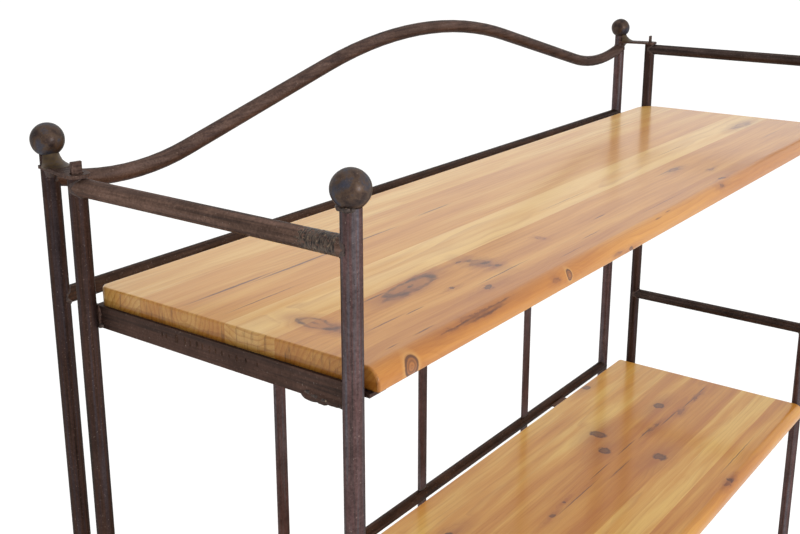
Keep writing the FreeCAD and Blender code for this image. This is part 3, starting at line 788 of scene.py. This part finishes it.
def ball(end, side, body):
    """The ball on the front or back post of one side."""
    name = f"{end}_ball_{side}"
    low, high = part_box(name)
    radius = (high.x - low.x) / 2
    centre = Vector(((low.x + high.x) / 2, (low.y + high.y) / 2, high.z - radius))
    seat = math.sqrt(radius ** 2 - TUBE_RADIUS ** 2) - UNDERCUT
    shape = bmesh.new()
    bmesh.ops.create_uvsphere(shape, u_segments=BALL_ROUND, v_segments=BALL_TALL,
                              radius=radius - HAMMER_DEPTH)
    for v in shape.verts:
        v.co += v.normal * HAMMER_DEPTH * noise.noise((v.co + centre) / (HAMMER_MM * MM))
    everything = [*shape.verts, *shape.edges, *shape.faces]
    bmesh.ops.bisect_plane(shape, geom=everything, plane_co=(0, 0, -seat), plane_no=(0, 0, -1),
                           clear_outer=True)
    bmesh.ops.scale(shape, vec=(NECK_SHARE, NECK_SHARE, 1), verts=extruded_rim(shape))
    bmesh.ops.translate(shape, vec=(0, 0, -FOOT_DEPTH), verts=extruded_rim(shape))
    bmesh.ops.holes_fill(shape, edges=open_rim(shape), sides=0)
    bmesh.ops.translate(shape, vec=centre, verts=shape.verts)
    made = piece(f"forged_{name}", shape, iron_ball, body)
    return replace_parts(made, name)


for side in SIDES:
    ball("front", side, FRAME_OF[side])
    ball("back", side, "back_panel")

# %% [markdown]
# ## Weld beads on round tube
# Where a tube meets a post, the welder runs a bead round the joint. A plain ring would stand off the post,
# so the bead is a small circle spun round the tube's axis, and each point then slides along the tube until
# the ring lies on the round of the post, as a saddle does. Ripples and noise break the ring up.

# %% Bead helper
BEAD, BEAD_SIDES, BEAD_STEPS, BEAD_DENT = 1.1 * MM, 10, 56, 0.5 * MM
RIPPLES, RIPPLE_SHARE = 17, 0.10
# the size of a lump, and the noise's roughness, the step between its octaves and their number
LUMP_MM, LUMP_NOISE = 5, (0.9, 2.0, 3)


def lumpy(shape, verts, size):
    """Move points along their normals by smooth noise."""
    shape.normal_update()
    for v in verts:
        v.co += v.normal * (noise.fractal(v.co / (LUMP_MM * MM), *LUMP_NOISE) * size)


def saddle_bead(shape, joint, along, post_way):
    """A bead round a tube that leaves a round post at a joint on the post's axis."""
    ring = bmesh.new()
    made = bmesh.ops.create_circle(ring, segments=BEAD_SIDES, radius=BEAD)["verts"]
    bmesh.ops.rotate(ring, matrix=Matrix.Rotation(math.pi / 2, 3, "X"), verts=made)
    bmesh.ops.translate(ring, vec=(TUBE_RADIUS, 0, 0), verts=made)
    bmesh.ops.spin(ring, geom=[*ring.verts, *ring.edges], cent=(0, 0, 0), axis=(0, 0, 1), angle=2 * math.pi,
                   steps=BEAD_STEPS, use_merge=True)
    for v in ring.verts:
        turn = math.atan2(v.co.y, v.co.x)
        swell = 1 + RIPPLE_SHARE * math.sin(RIPPLES * turn)
        out = TUBE_RADIUS + (math.hypot(v.co.x, v.co.y) - TUBE_RADIUS) * swell
        v.co.x, v.co.y = out * math.cos(turn), out * math.sin(turn)
        v.co.z = v.co.z * swell + math.sqrt(TUBE_RADIUS ** 2 - min(abs(v.co.x), TUBE_RADIUS) ** 2)
    third = along.cross(post_way).normalized()
    turned = Matrix((third, post_way.normalized(), along.normalized())).transposed().to_4x4()
    bmesh.ops.transform(ring, matrix=Matrix.Translation(joint) @ turned, verts=ring.verts)
    lumpy(ring, ring.verts, BEAD_DENT)
    join(shape, ring)


print("bead helper ready")

# %% Beads of the side frames
for side in SIDES:
    front, rear = middle(f"front_post_{side}"), middle(f"rear_post_{side}")
    shape = bmesh.new()
    for rail in ("side_rail", *(f"guard_rail_{tier}" for tier in TIERS[1:])):
        height = middle(f"{rail}_{side}").z
        saddle_bead(shape, Vector((front.x, front.y, height)), BACK, UP)
        saddle_bead(shape, Vector((rear.x, rear.y, height)), -BACK, UP)
    piece(f"rail_welds_{side}", shape, weld, FRAME_OF[side])

# %% Beads of the back panel
# the arch leaves its posts downwards at this slope
ARCH_END_SLOPE = math.radians(16.1)
shape = bmesh.new()
for side, way in (("left", 1), ("right", -1)):
    post = middle(f"back_post_{side}")
    for tier in TIERS:
        joint = Vector((post.x, post.y, middle(f"back_rail_{tier}").z))
        saddle_bead(shape, joint, way * ACROSS, UP)
    slope = Vector((way * math.cos(ARCH_END_SLOPE), 0, -math.sin(ARCH_END_SLOPE)))
    lean = Vector((way * math.sin(ARCH_END_SLOPE), 0, math.cos(ARCH_END_SLOPE)))
    saddle_bead(shape, Vector((post.x, post.y, middle(f"side_rail_{side}").z)), slope, lean)
piece("back_panel_welds", shape, weld, "back_panel")

# %% [markdown]
# ## Weld lumps on flat iron
# Where flat iron meets a tube, the welder leaves a short lump rather than a ring. A lump is a small ball,
# stretched to its reach and dented by noise. It starts from an icosphere, whose points are spread evenly,
# so the dents have no poles. The largest one hangs from the lower edge of each angle iron, behind the
# front post, and crumbs of slag stick to the leg above it.

# %% Lump helper
LUMP_FINENESS, LUMP_DENT = 3, 0.7 * MM


def lump(shape, centre, reach, dent=LUMP_DENT):
    """A dented ball with a reach along each axis."""
    made = bmesh.ops.create_icosphere(shape, subdivisions=LUMP_FINENESS, radius=1)["verts"]
    bmesh.ops.scale(shape, vec=reach, verts=made)
    bmesh.ops.translate(shape, vec=centre, verts=made)
    lumpy(shape, made, dent)


print("lump helper ready")

# %% Lumps of the angle irons
# sags: how far behind the front post each lies, its half length, and how far it hangs below the leg, in mm
SAGS = [(47, 11, 4.4), (37, 9, 4.0), (25, 9, 3.2), (14, 8, 3.4)]
SAG_IN, SAG_LIFT, SAG_REACH, SAG_DENT = 1.4 * MM, 0.8 * MM, 2.7 * MM, 0.8 * MM
# crumbs: how far behind the front post in mm, how high on the leg as a share, and the half length in mm
CRUMBS = [(50, 0.16, 4), (42, 0.10, 7), (34, 0.05, 5)]
CRUMB_REACH, CRUMB_TALL, CRUMB_DENT = 1.3 * MM, 1.7 * MM, 0.9 * MM
# the seams at both posts, and the crumb at the rear one
SEAM_SHARE, SEAM_OUT, SEAM_REACH, SEAM_LENGTH, SEAM_TALL = 0.75, 0.4 * MM, 2.2 * MM, 3.2 * MM, 0.52
REAR_CRUMB, REAR_CRUMB_OUT, REAR_CRUMB_SHARE = Vector((2, 4, 2.6)) * MM, 1.0 * MM, 0.12
for side, out in (("left", -1), ("right", 1)):
    front, rear = middle(f"front_post_{side}"), middle(f"rear_post_{side}")
    shape, crumbs = bmesh.new(), bmesh.new()
    for tier in TIERS:
        low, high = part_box(f"angle_{tier}_{side}")
        face = low.x if out < 0 else high.x
        leg = high.z - low.z
        for behind, half, drop in SAGS:
            lump(shape, Vector((face - out * SAG_IN, front.y + behind * MM, low.z + SAG_LIFT)),
                 (SAG_REACH, half * MM, drop * MM + SAG_LIFT), SAG_DENT)
        for behind, share, half in CRUMBS:
            lump(crumbs, Vector((face, front.y + behind * MM, low.z + share * leg)),
                 (CRUMB_REACH, half * MM, CRUMB_TALL), CRUMB_DENT)
        for y in (front.y + SEAM_SHARE * TUBE_RADIUS, rear.y - SEAM_SHARE * TUBE_RADIUS):
            lump(shape, Vector((face + out * SEAM_OUT, y, low.z + leg / 2)),
                 (SEAM_REACH, SEAM_LENGTH, SEAM_TALL * leg))
        spot = Vector((face + out * REAR_CRUMB_OUT, rear.y - TUBE_RADIUS, low.z + REAR_CRUMB_SHARE * leg))
        lump(crumbs, spot, REAR_CRUMB)
    piece(f"angle_welds_{side}", shape, iron_angle, FRAME_OF[side])
    piece(f"angle_crumbs_{side}", crumbs, chipped_weld, FRAME_OF[side])

# %% [markdown]
# ## Strokes and tacks
# On the upper left angle iron a vice or a chisel left a row of upright strokes, and under each front ball
# the welder set a few tacks, short spots of weld that hold the ball to its post. Both are small lumps
# again, thin flat ones for the strokes and round ones for the tacks. A bump in the material would be
# quicker, but it would vanish at the outline, where a real weld stands out.

# %% Strokes on the upper left angle iron
# how far behind the front post each lies, its half width and its half height, in mm
STROKES = [(208, 1.2, 3.0), (203, 0.8, 2.4), (191, 1.8, 4.2), (181, 1.3, 4.0), (175, 0.9, 3.4),
           (167, 1.6, 3.6), (161, 0.9, 3.0), (153, 1.3, 3.2), (146, 0.8, 2.6), (139, 1.1, 2.6),
           (131, 0.8, 2.2), (123, 1.3, 2.8), (113, 0.9, 2.2), (101, 0.8, 1.8)]
STROKE_SHARE, STROKE_OUT = 0.6, 0.3 * MM
low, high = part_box("angle_1_left")
shape = bmesh.new()
for behind, half, tall in STROKES:
    spot = Vector((low.x, middle("front_post_left").y + behind * MM, low.z + STROKE_SHARE * (high.z - low.z)))
    lump(shape, spot, (STROKE_OUT, half * MM, tall * MM), STROKE_OUT)
piece("angle_strokes_left", shape, iron_across_shaded, FRAME_OF["left"])

# %% Tacks under the balls
# where the tacks sit round the left post, in degrees seen from above and counted from the right, and how
# large each is; the right post has their mirror image
TACKS = [(122, 0.9), (146, 1.1), (170, 0.7), (196, 1.2), (222, 0.8)]
TACK_REACH, TACK_DENT = Vector((3.0, 3.0, 2.3)) * MM, 0.9 * MM
for side in SIDES:
    low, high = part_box(f"front_ball_{side}")
    centre, radius = (low + high) / 2, (high.x - low.x) / 2
    seat = high.z - radius - math.sqrt(radius ** 2 - TUBE_RADIUS ** 2)
    shape = bmesh.new()
    for degrees, size in TACKS:
        turn = math.radians(degrees if side == "left" else 180 - degrees)
        spot = Vector((centre.x, centre.y, seat)) + Vector((math.cos(turn), math.sin(turn), 0)) * TUBE_RADIUS
        lump(shape, spot, TACK_REACH * size, TACK_DENT)
    piece(f"ball_tacks_{side}", shape, chipped_weld, FRAME_OF[side])

# %% [markdown]
# ## Welds of the bars and tabs
# Each flat bar is welded to the rails above and below it, and each tab to its back rail. These welds lie in
# tight places and stayed small: a lump swells round each end of a bar, and two short ones sit along a tab.

# %% Lumps of the bars and tabs
BAR_SWELL, BAR_RISE, BAR_DENT = 1.3 * MM, 2.86 * MM, 0.5 * MM
TAB_LUMP, TAB_IN, TAB_SHARES = Vector((5.5, 3.4, 1.7)) * MM, 0.8 * MM, (0.22, 0.78)
shape = bmesh.new()
for tier in TIERS[1:]:
    for place in ("left", "middle", "right"):
        low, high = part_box(f"bar_{tier}_{place}")
        spot, half = (low + high) / 2, (high - low) / 2
        reach = (half.x + BAR_SWELL, half.y + BAR_SWELL, BAR_RISE)
        for z in (low.z + BAR_SWELL, high.z - BAR_SWELL):
            lump(shape, Vector((spot.x, spot.y, z)), reach, BAR_DENT)
for tier in TIERS:
    rail_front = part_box(f"back_rail_{tier}")[0].y
    for side in SIDES:
        low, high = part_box(f"tab_{tier}_{side}")
        for share in TAB_SHARES:
            x = low.x + share * (high.x - low.x)
            lump(shape, Vector((x, rail_front + TAB_IN, (low.z + high.z) / 2)), TAB_LUMP)
piece("bar_and_tab_welds", shape, weld, "back_panel")

# %% [markdown]
# ## Hook plate fillets
# Each slotted plate is welded to its back post with far more metal than it needs: a hollow fillet climbs the
# post and runs out along the plate. The fillet's outline is drawn as a closed strip and spun round the post,
# and its reach then shrinks towards the sides so that it stays on the narrow plate. The weld above a plate
# was brushed to an olive brown and the smaller one below it was left dull, so they are two pieces.

# %% Make the fillets
FILLET_RISE, FILLET_REACH, FILLET_SPREAD = 16 * MM, 17 * MM, math.radians(116)
FILLET_ROOT, FILLET_SUNK, FILLET_STEPS, FILLET_DENT = 0.8 * TUBE_RADIUS, 1.0 * MM, 28, 0.35 * MM
OVER_SIZE, UNDER_SIZE, PLATE_MARGIN, LEAST_SINE = 1.0, 0.5, 0.5 * MM, 0.01
# the hollow line from the plate to the post, as shares of reach and rise
HOLLOW = [(1.0, 0.015), (0.72, 0.09), (0.45, 0.22), (0.22, 0.46), (0.08, 0.74), (0.0, 1.0)]
over, under = bmesh.new(), bmesh.new()
for side in SIDES:
    post, rear = middle(f"back_post_{side}"), middle(f"rear_post_{side}")
    plate_low, plate_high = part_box(f"hook_plate_{side}")
    toward = Vector((rear.x - post.x, rear.y - post.y, 0)).normalized()
    half_plate = (plate_high.x - plate_low.x) / 2
    for shape, base, up, size in ((over, plate_high.z, 1, OVER_SIZE), (under, plate_low.z, -1, UNDER_SIZE)):
        part = bmesh.new()
        points = [(TUBE_RADIUS + FILLET_REACH * size * share, FILLET_RISE * size * climb)
                  for share, climb in HOLLOW]
        points += [(FILLET_ROOT, FILLET_RISE * size), (FILLET_ROOT, -FILLET_SUNK),
                   (points[0][0], -FILLET_SUNK)]
        part.faces.new([part.verts.new((r, 0, up * z)) for r, z in points])
        bmesh.ops.spin(part, geom=[*part.verts, *part.edges, *part.faces], cent=(0, 0, 0), axis=(0, 0, 1),
                       angle=FILLET_SPREAD, steps=FILLET_STEPS)
        for v in part.verts:
            turn = math.atan2(v.co.y, v.co.x) - FILLET_SPREAD / 2
            radius = math.hypot(v.co.x, v.co.y)
            edge = (half_plate - PLATE_MARGIN) / max(abs(math.sin(turn)), LEAST_SINE)
            shrunk = min(TUBE_RADIUS + (radius - TUBE_RADIUS) * math.cos(turn) ** 2, max(edge, TUBE_RADIUS))
            way = Matrix.Rotation(turn, 3, "Z") @ toward
            radius = min(radius, shrunk) if radius > TUBE_RADIUS else radius
            v.co = Vector((post.x, post.y, base + v.co.z)) + way * radius
        lumpy(part, part.verts, FILLET_DENT)
        bmesh.ops.recalc_face_normals(part, faces=part.faces)
        join(shape, part)
piece("hook_plate_welds", over, olive_weld, "back_panel")
piece("hook_plate_under_welds", under, weld, "back_panel")

# %% [markdown]
# ## Grip marks on the side rails
# The front end of each side rail was held in a vice while it was welded, and the jaws left rough rings with
# bare metal showing. A line of points is spun into a sleeve round the tube, and noise that changes fast along
# the tube and slowly round it lifts strokes out of the tube's surface. Between the strokes the sleeve
# lies under the skin of the tube.

# %% Make the grip marks
GRIP_LENGTH, GRIP_DEPTH, GRIP_START, GRIP_CUTS, GRIP_STEPS = 48 * MM, 0.34 * MM, 0.9 * TUBE_RADIUS, 75, 72
# a jaw's teeth along the tube, how often a stroke changes round it, and the noise as for lumps
JAW_MM, JAW_TURNS, JAW_NOISE = 1.5, 4.2, (0.8, 2.0, 3)
# how steeply the marks begin and fade out, how high they lie, and how deep the sleeve lies between them
GRIP_BEGIN, GRIP_FADE, GRIP_LIFT, GRIP_SUNK = 16, 1.8, 0.75, 0.4
for side in SIDES:
    rail, front = middle(f"side_rail_{side}"), middle(f"front_post_{side}")
    shape = bmesh.new()
    ends = [shape.verts.new((0, 0, TUBE_RADIUS)), shape.verts.new((0, GRIP_LENGTH, TUBE_RADIUS))]
    bmesh.ops.subdivide_edges(shape, edges=[shape.edges.new(ends)], cuts=GRIP_CUTS)
    bmesh.ops.spin(shape, geom=[*shape.verts, *shape.edges], cent=(0, 0, 0), axis=(0, 1, 0),
                   angle=2 * math.pi, steps=GRIP_STEPS, use_merge=True)
    for v in shape.verts:
        share = v.co.y / GRIP_LENGTH
        fade = min(1, GRIP_BEGIN * share, GRIP_FADE * (1 - share))
        out = Vector((v.co.x, 0, v.co.z)).normalized()
        tooth = Vector((v.co.y / (JAW_MM * MM), JAW_TURNS * out.x, JAW_TURNS * out.z + rail.x))
        stroke = noise.fractal(tooth, *JAW_NOISE)
        v.co += out * (GRIP_DEPTH * (fade * (GRIP_LIFT + stroke) - GRIP_SUNK))
    bmesh.ops.holes_fill(shape, edges=open_rim(shape), sides=0)
    bmesh.ops.translate(shape, vec=Vector((rail.x, front.y + GRIP_START, rail.z)), verts=shape.verts)
    piece(f"grip_marks_{side}", shape, gripped_iron, FRAME_OF[side])
